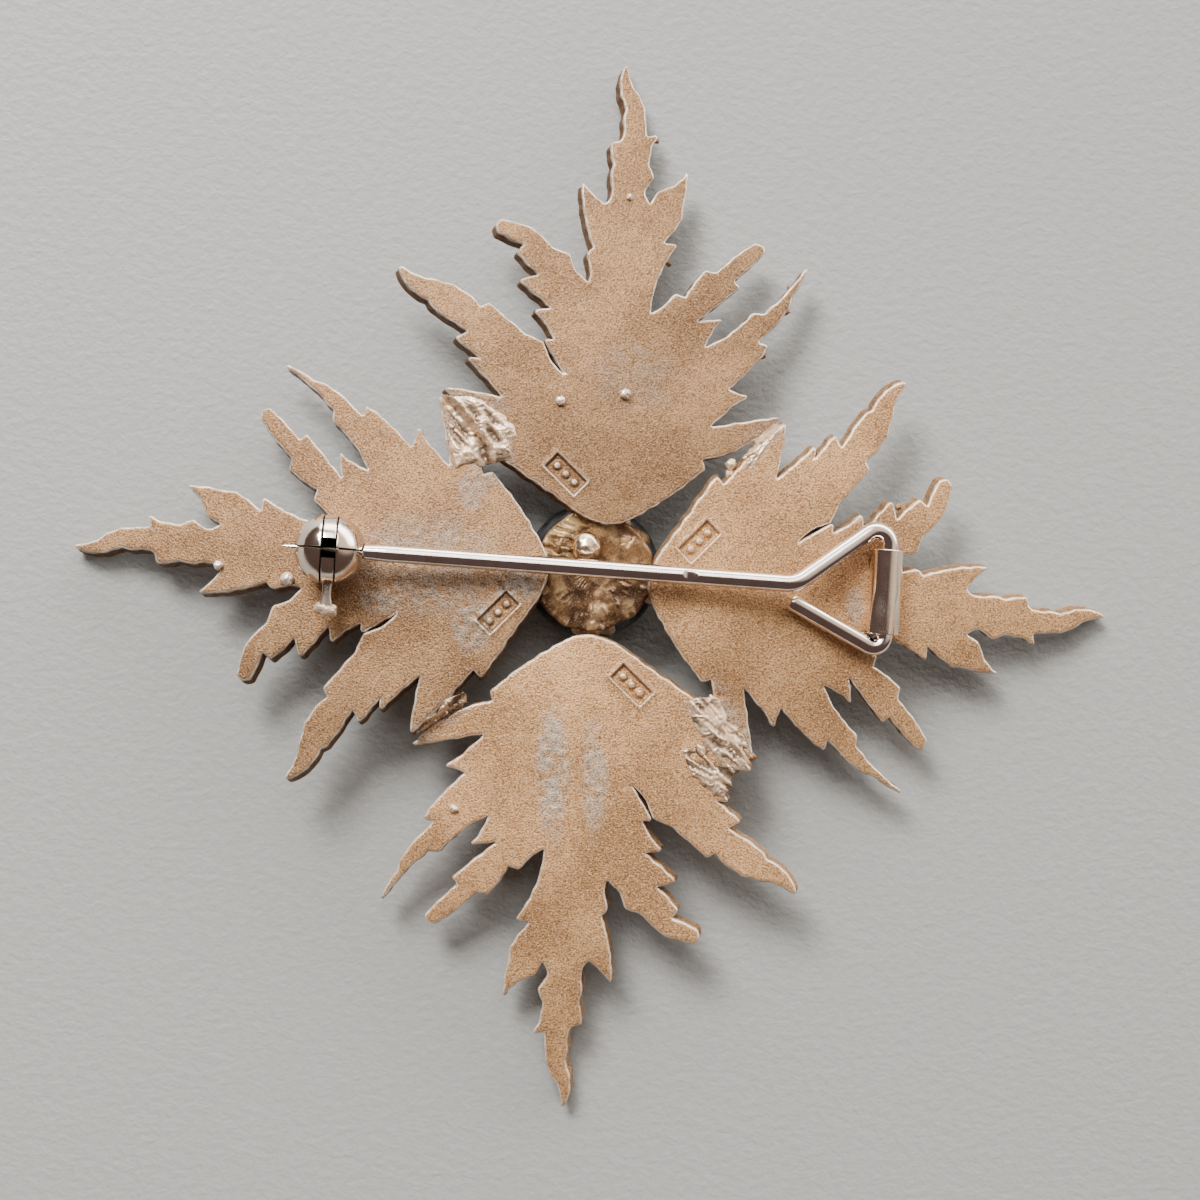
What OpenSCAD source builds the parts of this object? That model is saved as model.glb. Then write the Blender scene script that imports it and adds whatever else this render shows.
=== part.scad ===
// Leaf brooch, lying on its front with the back up, as it is seen from behind.
// Four castings of one maple leaf stand in a cross round a cup that holds a black stone.
// A bent wire pin turns in a folded sleeve on the right leaf and rests in a ball catch on the left leaf.
// Millimetres. X runs to the right leaf, Y to the top leaf, Z up to the viewer. The floor is z = 0.

/* [Leaf casting] */
// thickness of the cast plate
plate = 1.3; // [0.9:0.1:2]
// radius of the dome that every leaf is bent to
dome_r = 150; // [100:5:250]
// sideways lean of each leaf, its left side high, in degrees
lean = 3; // [0:0.5:6]
// length of the soft bevel on each tooth tip
tip_soft = 0.22; // [0.1:0.02:0.4]
// length of the soft bevel in each notch
notch_soft = 0.16; // [0.05:0.01:0.3]
// depth of the small plain panel sunk in each back
panel_sink = 0.25; // [0.1:0.05:0.5]
// height of the veins on the front of each leaf
vein_height = 0.35; // [0.1:0.05:0.6]

/* [Stone and cup] */
// diameter of the black stone
stone_d = 9.8; // [8:0.1:12]
// thickness of the stone
stone_h = 4.1; // [3:0.1:5]
// gap between the floor and the front of the stone
stone_rise = 0.3; // [0.1:0.1:1]
// outer radius of the cup behind the stone
cup_r = 3.75; // [3:0.05:4.5]
// radius of the peg that enters the stone
peg_r = 0.7; // [0.4:0.1:1]
// height of the blind hole's floor above the front of the stone
hole_floor = 2.4; // [2:0.1:3]

/* [Pin] */
// diameter of the pin wire
wire_d = 1.25; // [0.9:0.05:1.35]
// turn of the whole pin about the vertical, in degrees
pin_turn = -4.1; // [-8:0.1:8]
// height of the hinge line above the floor
hinge_z = 6.05; // [5.6:0.05:7]
// rise of the pin's stem above the hinge line
stem_rise = 1.8; // [1.8:0.05:2.4]
// length of the hinge sleeve
sleeve_len = 6.1; // [4:0.1:8]
// outer radius of the folded sheet over the wire
sleeve_r = 1.05; // [0.9:0.05:1.3]
// radial play of the wire in the sleeve
pin_play = 0.05; // [0.02:0.01:0.1]

/* [Catch] */
// radius of the ball
ball_r = 2.45; // [2:0.05:3]
// thickness of the turning disc between the cheeks
disc_t = 0.94; // [0.6:0.02:1.2]
// radius of the turning disc
disc_r = 2.36; // [2:0.02:2.8]
// half width of the disc's mouth
mouth_half = 0.7; // [0.62:0.01:0.8]
// half width of the way through the cheeks, where the pin is already tapering
way_half = 0.62; // [0.58:0.01:0.7]

/* [Hidden] */
wire_r = wire_d / 2;
hinge_at = [20.8, -1.04, hinge_z];
catch_x = -40;
stem_y = 0.07;
ball_at = [catch_x, stem_y, stem_rise];
cup_at = [-0.25, 0.65];
cup_top = 5.9;
cup_floor = 4.5;
lean_shift = dome_r * sin(lean);
tip_at = [2.45, 37.95];
tip_gap = norm([tip_at[0] + lean_shift, tip_at[1]]);
// the underside of the four tips stands on the floor
dome_z = -sqrt(pow(dome_r - plate, 2) - tip_gap * tip_gap);

// Which sub-part to draw, or all of them

// Outline of one leaf, its tip towards +Y, run anticlockwise from the foot of its stalk end.
// Each row is one tooth: its tip, the bow of the edge that climbs to it, the notch after it
// and the bow of the edge that falls to the notch. A bow is positive where the edge swells outwards.
// [tip_x, tip_y, climb_bow, notch_x, notch_y, fall_bow]
right_ear = [
    [7.5, 7.75, 0.25, 7.25, 8.45, 0.1],
    [13.1, 11.5, 0.6, 7.85, 10.65, 0],
    [10.75, 13.05, -0.15, 9.3, 13.55, -0.1],
    [12.4, 16.75, 0.15, 11.5, 17, 0],
    [14, 19.7, 0.12, 14.35, 20.7, 0],
    [15.45, 22.65, 0.1, 12.2, 19.15, -0.2],
    [11.4, 19.1, 0, 7.65, 16.5, -0.25],
];
right_upper = [
    [8.95, 18.65, -0.15, 6.95, 18.4, 0],
    [10.35, 21.1, 0, 9.95, 21.7, -0.1],
    [12.3, 23.85, 0.12, 12.15, 24.2, 0],
    [11.6, 24.35, 0, 8.75, 22.1, 0.1],
    [7.95, 22.25, 0, 6.4, 20.15, 0.12],
    [5.7, 20.5, 0, 3.7, 18.9, -0.15],
];
middle_right = [
    [5.8, 24.15, -0.45, 4.65, 24.2, 0.05],
    [6.2, 26.15, 0.05, 6.35, 27.4, 0],
    [6.65, 29.67, 0.1, 5.75, 28.65, -0.1],
    [4.5, 28.05, 0.05, 3.9, 27.05, 0.05],
    [4.2, 29.2, -0.5, 3.85, 30.1, 0.05],
    [4.5, 32.45, -0.15, 3.75, 32.3, 0],
    [3.6, 34.6, 0, 2.8, 36.2, 0.12],
];
middle_left = [
    [2.42, 37.95, -0.05, 2.45, 34.6, 0.42],
    [2.2, 34, 0, 2.2, 32.5, 0],
    [1.24, 31.8, -0.2, 1.38, 30.3, 0.05],
    [1.12, 29, 0, 0.62, 27.1, -0.35],
    [-0.95, 28.75, -0.12, -0.2, 23.85, 0.2],
    [-0.62, 23.25, 0.1, -0.6, 21.25, -0.15],
];
left_upper = [
    [-2, 23.3, -0.3, -3.3, 23.85, 0],
    [-4.5, 25.1, 0.05, -5.5, 25.55, 0.05],
    [-6.9, 25.9, 0.05, -7.25, 25.6, 0],
    [-7.15, 25.1, 0, -5.15, 24.15, 0.05],
    [-5.7, 23.55, 0, -3.95, 21.75, 0.1],
    [-5.5, 21.45, 0.08, -3.05, 19.35, 0.1],
    [-4.5, 19.15, 0.05, -3.1, 17.05, -0.15],
    [-3.8, 17, 0, -2.15, 14.1, 0],
];
left_ear = [
    [-4, 16.85, -0.3, -5.3, 17.45, 0],
    [-7.95, 19.75, 0, -8.45, 19.4, 0],
    [-10.3, 21, 0.1, -12.6, 21.55, 0.05],
    [-14.3, 22.4, 0, -12.15, 20.05, 0.4],
    [-11.9, 19.5, 0, -9.2, 17.7, 0.05],
    [-10.2, 17.2, 0, -7.85, 15.3, 0.05],
    [-9.25, 15.7, 0.08, -6.65, 12.7, 0],
    [-10.95, 13.5, 0.1, -6.4, 9.1, 0.15],
    [-7, 8.55, 0, -1.2, 4.4, 0],
    [0.2, 3.85, 0, 1.6, 3.9, 0],
];
// Where each casting was soldered. [turn, shift_x, shift_y]
leaves = [
    [0.3, 0.13, 0.07],
    [90, 0.16, -0.05],
    [180.4, -0.15, -0.35],
    [269.3, -0.17, 0.25],
];

teeth = concat(right_ear, right_upper, middle_right, middle_left, left_upper, left_ear);

// Solder lumps where the ears of neighbours meet, each a blunt cone that bridges both plates.
// [x, y, foot_radius, top_radius, z_low, z_high]
solder = [
    [12.75, 10.8, 0.8, 0.5, 4.3, 5.9],
    [11.2, 9.5, 1, 0.7, 4.2, 6.1],
    [9.8, 8.2, 0.7, 0.4, 4.6, 6.25],
    [-11, 12.7, 1.2, 0.9, 4.2, 5.9],
    [-9.7, 11.1, 1.5, 1.1, 4.3, 6.3],
    [-8.6, 9.5, 1, 0.7, 4.6, 6.45],
    [-12.5, -11, 1, 0.7, 4.2, 5.9],
    [-11, -9.7, 1.2, 0.9, 4.3, 6.15],
    [10.9, -12.6, 1.3, 0.9, 4.2, 5.8],
    [9.8, -11, 1.7, 1.2, 4.2, 6.4],
    [12, -9.9, 1.2, 0.8, 4.3, 6],
];

// Solder at the foot of each leaf, between it and the cup. [x, y, z, radius]
foot_solder = [
    [0.6, 4.05, 5.4, 0.9],
    [-4.1, 0.7, 5.3, 0.9],
    [-0.4, -3.6, 5.15, 0.9],
    [3.9, -0.6, 5.15, 0.9],
];

// Little studs that the casting leaves on the backs, in the leaf's own place.
// [leaf, x, y, radius]; leaf 0 is the top one, 1 the left, 2 the bottom, 3 the right
studs = [
    [0, -2.8, 12.6, 0.35],
    [0, 1.9, 13.1, 0.38],
    [0, 2.4, 27.7, 0.22],
    [1, -0.05, 22.4, 0.5],
    [1, 0.95, 27.4, 0.35],
    [2, 10.3, 16.1, 0.3],
];

// Main veins on the front of a leaf. [x, y where it ends, width]; all start at the stalk end
veins = [
    [2.5, 34.5, 0.7],
    [-5.9, 23.9, 0.6],
    [11.2, 22.9, 0.6],
    [-12.6, 20.9, 0.6],
    [13.8, 20.2, 0.6],
    [-9.4, 12.7, 0.5],
    [11.4, 10.9, 0.5],
];

// Corners of the pin wire about the middle of the hinge, from the stem's point to the cut end,
// each with the radius of its bend. [x, y, z, bend_radius]
wire_path = [
    [-36, stem_y, stem_rise, 0],
    [-6.82, stem_y, stem_rise, 2.2],
    [0, 5.49, 0, 1.08],
    [0, -4.44, 0, 0.8],
    [-6.95, -1.15, 0.33, 0],
];

function mid_of(a, b, t, bow) =
    let (d = b - a, n = [d[1], -d[0]] / norm(d))
    a + d * t + n * bow * 4 * t * (1 - t);

// points between two corners: none on a straight edge, one or two on a bowed one
function edge_points(a, b, bow) =
    bow == 0 ? [] :
    norm(b - a) < 2.6 ? [mid_of(a, b, 0.5, bow)] :
    [mid_of(a, b, 0.3, bow), mid_of(a, b, 0.7, bow)];

// a corner cut back by a soft bevel, towards the points before and after it
function corner(p, before, after, soft) = [
    p + (before - p) * min(soft / norm(before - p), 0.4),
    p + (after - p) * min(soft / norm(after - p), 0.4)
];

function tooth_points(i) =
    let (
        n = len(teeth),
        row = teeth[i],
        last = teeth[(i + n - 1) % n],
        next = teeth[(i + 1) % n],
        start = [last[3], last[4]],
        tip = [row[0], row[1]],
        notch = [row[3], row[4]],
        climb = edge_points(start, tip, row[2]),
        fall = edge_points(tip, notch, row[5]),
        on = edge_points(notch, [next[0], next[1]], next[2]),
        before = len(climb) > 0 ? climb[len(climb) - 1] : start,
        after = len(fall) > 0 ? fall[0] : notch,
        ahead = len(on) > 0 ? on[0] : [next[0], next[1]],
        behind = len(fall) > 0 ? fall[len(fall) - 1] : tip
    )
    concat(climb, corner(tip, before, after, tip_soft), fall, corner(notch, behind, ahead, notch_soft));

outline = [for (i = [0 : len(teeth) - 1]) each tooth_points(i)];

// height of the back of a leaf over a point of its own plan
function back_z(x, y) = dome_z + sqrt(dome_r * dome_r - pow(x + lean_shift, 2) - y * y);

module bar(a, b, w, low, high) {
    d = b - a;
    translate([a[0], a[1], low])
        rotate([0, 0, atan2(d[1], d[0])])
            translate([0, -w / 2, 0])
                cube([norm(d), w, high - low]);
}

// the shell between two domes, moved aside so that the leaf leans
module shell(outer, inner) {
    translate([-lean_shift, 0, dome_z])
        difference() {
            sphere(r = outer, $fn = 96);
            sphere(r = inner, $fn = 96);
        }
}

// a plain sunk panel with three pellets; it stands where the casting is stamped
module panel_cut() {
    translate([-2.45, 7.35, back_z(-2.45, 7.35) - panel_sink])
        rotate([0, 0, -45])
            translate([-1.45, -0.65, 0])
                cube([2.9, 1.3, 2]);
}

module panel_pellets() {
    for (k = [-1 : 1])
        translate([-2.45 + k * 0.6, 7.35 - k * 0.6, back_z(-2.45, 7.35) - panel_sink - 0.1])
            sphere(r = 0.32, $fn = 24);
}

module leaf() {
    difference() {
        intersection() {
            linear_extrude(height = 10)
                polygon(outline);
            shell(dome_r, dome_r - plate);
        }
        panel_cut();
    }
    panel_pellets();
    intersection() {
        for (v = veins)
            bar([0.8, 7], [v[0], v[1]], v[2], -1, 10);
        shell(dome_r - plate + 0.3, dome_r - plate - vein_height);
    }
}

module corner_solder() {
    for (s = solder)
        translate([s[0], s[1], s[4]])
            cylinder(r1 = s[2], r2 = s[3], h = s[5] - s[4], $fn = 32);
}

// rough dish behind the stone, with a smooth bead of metal on its rim and the peg below
module cup() {
    translate([cup_at[0], cup_at[1], 0]) {
        difference() {
            translate([0, 0, cup_floor])
                cylinder(r = cup_r, h = cup_top - cup_floor, $fn = 64);
            translate([0.4, -0.4, cup_top + 4.3])
                sphere(r = 5, $fn = 64);
        }
        translate([0, 0, stone_rise + hole_floor + 0.1])
            cylinder(r = peg_r, h = cup_floor + 0.5 - stone_rise - hole_floor, $fn = 32);
    }
    translate([-0.76, 2.35, 5.95])
        sphere(r = 1.1, $fn = 48);
    translate([2.2, 1.9, 5.65])
        sphere(r = 1.15, $fn = 32);
    translate([-2.5, 2.2, 5.65])
        sphere(r = 1.15, $fn = 32);
}

module pin_place() {
    translate(hinge_at)
        rotate([0, 0, pin_turn])
            children();
}

// folded sheet: an arch over the wire, its two legs pressed together below, and a foot on the catch side
module hinge_sleeve() {
    pin_place()
        difference() {
            union() {
                rotate([90, 0, 0])
                    cylinder(r = sleeve_r, h = sleeve_len, center = true, $fn = 48);
                translate([-sleeve_r, -sleeve_len / 2, -1.85])
                    cube([2 * sleeve_r, sleeve_len, 1.85]);
                translate([-1.75, -sleeve_len / 2, -1.75])
                    cube([1, sleeve_len, 1.05]);
            }
            rotate([90, 0, 0])
                cylinder(r = wire_r + pin_play, h = sleeve_len + 1, center = true, $fn = 48);
        }
}

// ball with two cheeks, standing on a pad of solder
module catch_housing() {
    pin_place()
        translate(ball_at)
            difference() {
                union() {
                    sphere(r = ball_r, $fn = 64);
                    translate([0, 0, -3.4])
                        cylinder(r = 1.75, h = 1.8, $fn = 48);
                }
                // slot for the disc, and its way out at the top and sides
                rotate([0, 90, 0])
                    cylinder(r = disc_r + 0.07, h = disc_t + 0.1, center = true, $fn = 64);
                translate([-disc_t / 2 - 0.05, -3, -1.7])
                    cube([disc_t + 0.1, 6, 5]);
                // bearings for the disc's hub
                rotate([0, 90, 0])
                    cylinder(r = 1.35, h = 1.7, center = true, $fn = 48);
                // way in for the pin
                rotate([0, 90, 0])
                    cylinder(r = way_half, h = 6, center = true, $fn = 48);
                translate([-3, -way_half, 0])
                    cube([6, 2 * way_half, 3]);
            }
}

module leaf_frame()
    color([0.72, 0.6, 0.5])
        union() {
            for (k = [0 : len(leaves) - 1])
                translate([leaves[k][1], leaves[k][2], 0])
                    rotate([0, 0, leaves[k][0]]) {
                        leaf();
                        for (s = studs)
                            if (s[0] == k)
                                translate([s[1], s[2], back_z(s[1], s[2])])
                                    sphere(r = s[3], $fn = 24);
                    }
            corner_solder();
            for (s = foot_solder)
                translate([s[0], s[1], s[2]])
                    sphere(r = s[3], $fn = 32);
            cup();
            hinge_sleeve();
            catch_housing();
        }

// flattened bead with a round edge and a blind hole for the peg
module stone()
    color([0.04, 0.04, 0.045])
        translate([cup_at[0], cup_at[1], stone_rise])
            difference() {
                intersection() {
                    rotate_extrude($fn = 96)
                        union() {
                            translate([stone_d / 2 - stone_h / 2, stone_h / 2])
                                intersection() {
                                    circle(r = stone_h / 2, $fn = 64);
                                    translate([0, -stone_h])
                                        square([stone_h, 2 * stone_h]);
                                }
                            square([stone_d / 2 - stone_h / 2, stone_h]);
                        }
                    translate([0, 0, 9])
                        sphere(r = 9, $fn = 96);
                }
                translate([0, 0, hole_floor])
                    cylinder(r = peg_r + 0.06, h = 4, $fn = 32);
            }

// turns what is drawn up Z, with its X towards the vector n, to the heading d
module head_for(d, n) {
    tilt = acos(d[2]);
    swing = atan2(d[1], d[0]);
    ex = [cos(tilt) * cos(swing), cos(tilt) * sin(swing), -sin(tilt)];
    ey = [-sin(swing), cos(swing), 0];
    rotate([0, tilt, swing])
        rotate([0, 0, atan2(n * ey, n * ex)])
            children();
}

function heading(i) = let (d = corner_at(i + 1) - corner_at(i)) d / norm(d);
function corner_at(i) = [wire_path[i][0], wire_path[i][1], wire_path[i][2]];
function turn_of(i) = acos(heading(i - 1) * heading(i));
joint_gap = 0.02;
// length that a bend takes from the straight run on each side of its corner
function taken(i) =
    i == 0 || i == len(wire_path) - 1 ? 0 : wire_path[i][3] * tan(turn_of(i) / 2);

module wire_run(i) {
    d = heading(i);
    translate(corner_at(i) + d * (taken(i) + joint_gap))
        head_for(d, [0, 0, 1])
            cylinder(
                r = wire_r,
                h = norm(corner_at(i + 1) - corner_at(i)) - taken(i) - taken(i + 1) - 2 * joint_gap,
                $fn = 32
            );
}

// short sleeve of metal, hardly wider than the wire, where a straight run meets a bend
module wire_join(p, d) {
    translate(p - d * 0.06)
        head_for(d, [0, 0, 1])
            cylinder(r = wire_r + 0.01, h = 0.12, $fn = 32);
}

module wire_bend(i) {
    d = heading(i - 1);
    e = heading(i);
    n = e - d * (d * e);
    r = wire_path[i][3];
    translate(corner_at(i) - d * taken(i))
        head_for(d, n / norm(n))
            translate([r, 0, 0])
                rotate([0, 0, 180])
                    rotate([90, 0, 0])
                        rotate_extrude(angle = turn_of(i), $fn = 64)
                            translate([r, 0])
                                circle(r = wire_r, $fn = 32);
    wire_join(corner_at(i) - d * taken(i), d);
    wire_join(corner_at(i) + e * taken(i), e);
}

// bent spring wire: pointed stem, arm, hinge run and the short end that rests on the leaf
module pin()
    color([0.86, 0.84, 0.82])
        pin_place() {
            translate(corner_at(0) + [joint_gap, 0, 0])
                rotate([0, -90, 0])
                    cylinder(r1 = wire_r, r2 = 0.12, h = 7.3 + joint_gap, $fn = 32);
            for (i = [0 : len(wire_path) - 2])
                wire_run(i);
            for (i = [1 : len(wire_path) - 2])
                wire_bend(i);
        }

// turning disc with its hub, the mouth for the pin and the lever with a round end
module catch_roller()
    color([0.84, 0.82, 0.8])
        pin_place()
            translate(ball_at) {
                difference() {
                    union() {
                        rotate([0, 90, 0])
                            cylinder(r = disc_r, h = disc_t, center = true, $fn = 64);
                        rotate([0, 90, 0])
                            cylinder(r = 1.3, h = 1.6, center = true, $fn = 48);
                        translate([-disc_t / 2, -4.1, -1])
                            cube([disc_t, 2.6, 0.8]);
                        translate([0, -4.2, -0.6])
                            sphere(r = 0.72, $fn = 32);
                    }
                    rotate([0, 90, 0])
                        cylinder(r = mouth_half, h = 3, center = true, $fn = 48);
                    translate([-1.5, -mouth_half, 0])
                        cube([3, 2 * mouth_half, 3]);
                }
            }

leaf_frame();
stone();
pin();
catch_roller();
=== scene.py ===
# %% [markdown]
# # A leaf brooch, seen from behind
# The brooch lies on its front. Four castings of one maple leaf are soldered in a cross round a
# small cup that holds a black stone. A bent wire pin turns in a folded sleeve on the right leaf
# and ends in a ball catch on the left leaf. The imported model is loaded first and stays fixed:
# each new surface stands where its solid stands. Lengths are millimetres until a mesh is made.

import bmesh
import bpy
import numpy as np
from mathutils import Matrix, Vector
from mathutils.geometry import delaunay_2d_cdt


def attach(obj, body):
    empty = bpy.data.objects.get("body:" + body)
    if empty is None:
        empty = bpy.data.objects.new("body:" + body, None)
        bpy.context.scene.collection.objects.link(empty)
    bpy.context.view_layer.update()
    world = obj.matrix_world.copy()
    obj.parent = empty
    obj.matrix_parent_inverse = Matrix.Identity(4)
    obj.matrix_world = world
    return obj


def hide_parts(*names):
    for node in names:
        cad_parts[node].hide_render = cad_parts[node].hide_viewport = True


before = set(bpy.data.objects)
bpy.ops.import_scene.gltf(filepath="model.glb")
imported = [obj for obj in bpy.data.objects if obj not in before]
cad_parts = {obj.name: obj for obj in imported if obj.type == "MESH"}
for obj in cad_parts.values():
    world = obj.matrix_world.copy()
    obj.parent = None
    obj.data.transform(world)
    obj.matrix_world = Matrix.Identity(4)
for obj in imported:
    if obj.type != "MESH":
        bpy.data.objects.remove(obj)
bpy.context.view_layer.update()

# %% [markdown]
# ## The camera and the light
# The photograph looks almost straight down, from about 20 centimetres. The polished wire shows
# the room: its upper half is white, and its lower half is suddenly a dark purple brown. Shadows
# fall downwards, tight below the low tips and blurred where the metal stands high. So the room
# has a large window above the picture's upper edge, a low far one at the upper right, a warm
# paler wall on the right, and darkness everywhere else. One lamp at the upper left stands for
# the brightest part of the window. Room and metals share the shader maths that comes first.


# %% Shader maths written as Python
class Field:
    """A value that changes over a surface: one output of a node. Operators add Math nodes."""

    def __init__(self, nodes, socket):
        self.nodes = nodes
        self.socket = socket

    def calc(self, operation, other):
        return self.nodes.add("Math", {"operation": operation}, {0: self, 1: other})

    def __add__(self, other):
        return self.calc("ADD", other)

    def __sub__(self, other):
        return self.calc("SUBTRACT", other)

    def __mul__(self, other):
        return self.calc("MULTIPLY", other)

    __radd__ = __add__
    __rmul__ = __mul__

    def rise(self, low, high):
        """0 below low, 1 above high, and a smooth climb between; low may be the larger."""
        steps = {"interpolation_type": "SMOOTHSTEP"}
        return self.nodes.add("MapRange", steps, {"Value": self, "From Min": low, "From Max": high})


class Nodes:
    """A node tree with one way to add nodes: type, settings, then values or links of sockets."""

    def __init__(self, tree):
        self.tree = tree

    def add(self, kind, settings=None, inputs=None, out=0):
        made = self.tree.nodes.new("ShaderNode" + kind)
        for key, value in (settings or {}).items():
            setattr(made, key, value)
        for key, value in (inputs or {}).items():
            if isinstance(value, Field):
                self.tree.links.new(value.socket, made.inputs[key])
            else:
                made.inputs[key].default_value = value
        return Field(self, made.outputs[out])

    def mix(self, mask, under, over, kind="MIX"):
        """The colour over laid on the colour under, as far as mask says."""
        settings = {"data_type": "RGBA", "blend_type": kind}
        return self.add("Mix", settings, {0: mask, 6: under, 7: over}, out=2)


# %% The camera: from 200 mm, an 83 mm lens on a 36 mm sensor takes in a brooch of about 75 mm
CAMERA_DISTANCE, LOOKED_AT = 200.0, np.array([0.0, 0.0, 4.0])
# degrees by which the camera stands left of and below the vertical
TILTS = [-3.2, -2.1]


def unit(lines):
    """Vectors shortened or lengthened to 1."""
    return lines / np.linalg.norm(lines, axis=-1, keepdims=True)


def add_object(name, data):
    """An object of the scene that shows the data."""
    made = bpy.data.objects.new(name, data)
    bpy.context.collection.objects.link(made)
    return made


camera_data = bpy.data.cameras.new("camera")
camera_data.sensor_width = 36.0
camera_data.lens = 83.0
# the brooch lies a little off the middle of the picture
camera_data.shift_x = 0.0026
camera_data.shift_y = -0.0179
camera_data.clip_start = 0.005
camera = add_object("camera", camera_data)
back = unit(np.append(np.tan(np.radians(TILTS)), 1.0))
right = unit(np.cross([0, 1, 0], back))
stance = np.eye(4)
stance[:3, :3] = np.stack([right, np.cross(back, right), back], axis=1)
stance[:3, 3] = (LOOKED_AT + CAMERA_DISTANCE * back) / 1000
camera.matrix_world = Matrix(stance.tolist())
bpy.context.scene.camera = camera

# %% A soft room to reflect
world = bpy.data.worlds.new("soft_room")
bpy.context.scene.world = world
world.use_nodes = True
room = Nodes(world.node_tree)
ray = room.add("TexCoord")
aim = room.add("SeparateXYZ", {}, {0: ray})
across = Field(room, aim.socket.node.outputs["X"])
along = Field(room, aim.socket.node.outputs["Y"])
height = Field(room, aim.socket.node.outputs["Z"])
# how far a direction points at the window above, at the far window and at the right wall
pane = across * -0.05 + along * 0.56 + height * 0.827
far_window = (across * 0.5 + along * 0.866).rise(0.5, 0.8) * height.rise(0.52, 0.25)
right_wall = across * 0.72 + along * 0.5 + height * 0.48
glow = room.mix(height.rise(0.6, -0.1), (0.1, 0.068, 0.062, 1), (0.08, 0.056, 0.045, 1))
glow = room.mix(right_wall.rise(0.6, 0.95), glow, (1.1, 0.94, 0.78, 1))
glow = room.mix(far_window, glow, (9.0, 9.0, 8.9, 1))
glow = room.mix(pane.rise(0.91, 0.955), glow, (4.5, 4.45, 4.3, 1))
world.node_tree.links.new(glow.socket, world.node_tree.nodes["Background"].inputs["Color"])

# %% One square lamp inside the window, turned to the middle of the brooch
LAMP_AT = Vector((-235, 432, 468)) / 1000
lamp_data = bpy.data.lights.new("window", "AREA")
lamp_data.shape = "SQUARE"
lamp_data.size = 0.26
lamp_data.energy = 9.0
lamp_data.color = (1.0, 0.98, 0.95)
lamp = add_object("window", lamp_data)
lamp.location = LAMP_AT
lamp.rotation_euler = (-LAMP_AT).to_track_quat("-Z", "Y").to_euler()

# %% [markdown]
# ## The floor
# Shadows fall on a pale grey floor with the faint grain of leatherette, which is only the stage.


# %% The floor
def noise(nodes, where, size, detail=2.0, rough=0.5):
    """Cloudy values from 0 to 1 whose blotches are about size millimetres wide."""
    inputs = {"Vector": where, "Scale": 1 / size, "Detail": detail, "Roughness": rough}
    return nodes.add("TexNoise", {}, inputs)


def new_finish(name):
    """An empty material: its nodes, its shader and its object coordinates in millimetres."""
    material = bpy.data.materials.new(name)
    material.use_nodes = True
    nodes = Nodes(material.node_tree)
    coords = nodes.add("TexCoord", out=3)
    where = nodes.add("VectorMath", {"operation": "SCALE"}, {0: coords, "Scale": 1000.0})
    return material, nodes, material.node_tree.nodes["Principled BSDF"], where


def connect(nodes, shader, **fields):
    """Links fields to the shader's sockets; an underscore in a name stands for a blank."""
    for name, field in fields.items():
        nodes.tree.links.new(field.socket, shader.inputs[name.replace("_", " ")])


def bump(nodes, height, depth):
    """A Bump node: height from 0 to 1 becomes depth millimetres."""
    return nodes.add("Bump", {}, {"Height": height, "Distance": depth / 1000, "Strength": 1.0})


def floor_finish():
    """Pale grey with a fine grain that runs a little aslant."""
    material, nodes, shader, where = new_finish("pale_leatherette")
    slant = {"Vector": where, "Rotation": (0, 0, 0.5), "Scale": (1, 1.3, 1)}
    drawn = nodes.add("Mapping", {}, slant)
    grain = noise(nodes, drawn, 0.75, 3.0) * 0.7 + noise(nodes, where, 0.3, 2.0) * 0.3
    tone = nodes.mix(grain.rise(0.3, 0.8), (0.303, 0.305, 0.297, 1), (0.328, 0.33, 0.322, 1))
    connect(nodes, shader, Base_Color=tone, Normal=bump(nodes, grain, 0.09))
    shader.inputs["Roughness"].default_value = 0.5
    return material


floor_mesh = bpy.data.meshes.new("floor")
floor_mesh.from_pydata([(-1, -1, 0), (1, -1, 0), (1, 1, 0), (-1, 1, 0)], [], [(0, 1, 2, 3)])
floor_mesh.materials.append(floor_finish())
floor = add_object("floor", floor_mesh)

# %% [markdown]
# ## The finishes
# The leaves were never polished on the back: warm tan, with browner clouds, fine grit with
# painted glints, and pale rims, partly worn where hands have rubbed the edges and partly a painted
# highlight where the rounded edges catch the light. Painted shade darkens walls, undersides and
# recesses, and whole leaves by how they face the room's light. What changes with the shape, such
# as the distance to an edge, is a value stored on the mesh; what changes with the place alone is
# noise on object coordinates. The wire, sleeve and catch are polished.


# %% Cast silver with its tarnish, and painted light and shade
def stored(nodes, name):
    """A value stored on the mesh's points, such as how near a point is to the rim."""
    return nodes.add("Attribute", {"attribute_name": name}, out=2)


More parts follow.
